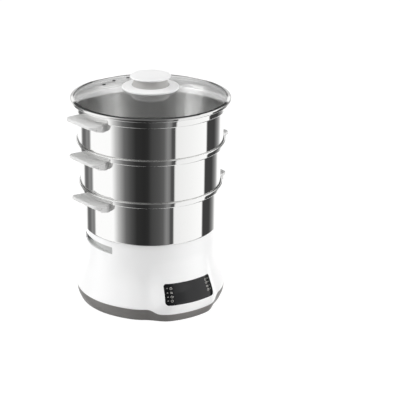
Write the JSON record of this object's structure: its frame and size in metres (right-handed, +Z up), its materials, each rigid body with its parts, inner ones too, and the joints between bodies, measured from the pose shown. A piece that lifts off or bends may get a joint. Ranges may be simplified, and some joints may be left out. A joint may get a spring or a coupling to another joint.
{
  "type": "electric food steamer",
  "caption": "Round electric food steamer: white heater base with touch panel, juice tray, stacked lift-off steel baskets with side handles, and a domed glass lid with knob.",
  "frame": {"origin": "centre of the steamer's foot at the table top, on the axis of the stack", "axes": "+Z up along the axis of the stack, -Y towards the control panel at the front, +X to the right of someone who faces the panel"},
  "size_m": [0.3004, 0.2708, 0.3881],
  "materials": {
    "white_plastic": "white moulded plastic, soft gloss",
    "grey_plastic": "warm grey moulded plastic, satin",
    "black_plastic": "black moulded plastic",
    "panel": "dark grey glossy touch panel with printed plain key symbols",
    "gauge": "smoky clear window strip",
    "tank_plastic": "pale grey heat-proof plastic",
    "rubber": "black rubber",
    "steel": "plain steel",
    "polished_steel": "polished stainless sheet",
    "aluminium": "cast aluminium",
    "heater": "stainless heater plate and tube",
    "board": "green circuit board",
    "components": "dark component bodies",
    "glass": "clear tempered glass"
  },
  "bodies": {
    "base": {"lower_housing": "grey_plastic", "base_shell": "white_plastic", "panel_lens": "panel", "water_gauge": "gauge", "rubber_feet": "rubber", "housing_screws": "steel", "cord_gland": "black_plastic", "power_board": "board", "power_board_parts": "components", "board_screws": "steel", "control_board": "board", "display_module": "components", "water_tank": "tank_plastic", "heater_gasket": "rubber", "heater_plate": "heater", "heating_element": "heater", "heater_clamp": "aluminium", "heater_clamp_screws": "steel", "thermostat": "components", "thermal_fuse": "components", "steam_guide_ring": "tank_plastic"},
    "juice_tray": {"juice_tray": "white_plastic"},
    "bottom_basket": {"bottom_basket": "polished_steel", "bottom_basket_floor": "polished_steel", "bottom_handle_left": "white_plastic", "bottom_handle_right": "white_plastic", "bottom_handle_rivets": "steel"},
    "middle_basket": {"middle_basket": "polished_steel", "middle_basket_floor": "polished_steel", "middle_handle_left": "white_plastic", "middle_handle_right": "white_plastic", "middle_handle_rivets": "steel"},
    "top_basket": {"top_basket": "polished_steel", "top_basket_floor": "polished_steel", "top_handle_left": "white_plastic", "top_handle_right": "white_plastic", "top_handle_rivets": "steel"},
    "lid": {"lid_rim": "polished_steel", "lid_glass": "glass", "knob_base": "white_plastic", "knob_neck": "grey_plastic", "knob_cap": "white_plastic", "knob_washer": "rubber", "knob_screw": "steel"}
  },
  "joints": [
    {"name": "juice_tray_lift", "type": "slide", "parent": "base", "child": "juice_tray", "axis": [0, 0, 1], "range_m": [0, 0.06]},
    {"name": "bottom_basket_lift", "type": "slide", "parent": "juice_tray", "child": "bottom_basket", "axis": [0, 0, 1], "range_m": [0, 0.09]},
    {"name": "middle_basket_lift", "type": "slide", "parent": "bottom_basket", "child": "middle_basket", "axis": [0, 0, 1], "range_m": [0, 0.09]},
    {"name": "top_basket_lift", "type": "slide", "parent": "middle_basket", "child": "top_basket", "axis": [0, 0, 1], "range_m": [0, 0.09]},
    {"name": "lid_lift", "type": "slide", "parent": "top_basket", "child": "lid", "axis": [0, 0, 1], "range_m": [0, 0.08]}
  ]
}
